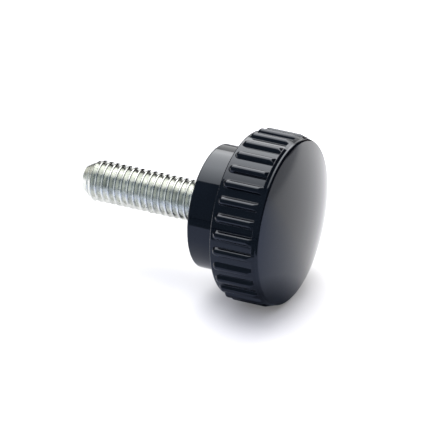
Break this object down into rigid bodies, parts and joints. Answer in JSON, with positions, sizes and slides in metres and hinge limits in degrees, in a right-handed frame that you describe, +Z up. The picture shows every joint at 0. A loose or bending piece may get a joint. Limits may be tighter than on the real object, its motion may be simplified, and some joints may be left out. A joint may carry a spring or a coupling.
{
  "type": "knurled knob",
  "caption": "Round black knob with straight grip ribs, a domed face and a plain boss, moulded onto a zinc-plated threaded stud that it tightens by hand.",
  "frame": {"origin": "centre of the boss's flat seat, on the knob's axis, where the stud leaves the moulding", "axes": "+X along the knob's axis from the seat to the domed face, so the stud points to -X; +Z up, as the picture shows the knob with its axis level"},
  "size_m": [0.0346, 0.025, 0.025],
  "materials": {
    "moulded_knob": "polished black moulding",
    "threaded_stud": "bright zinc plating"
  },
  "bodies": {
    "root": {"moulded_knob": "moulded_knob", "threaded_stud": "threaded_stud"}
  },
  "joints": []
}
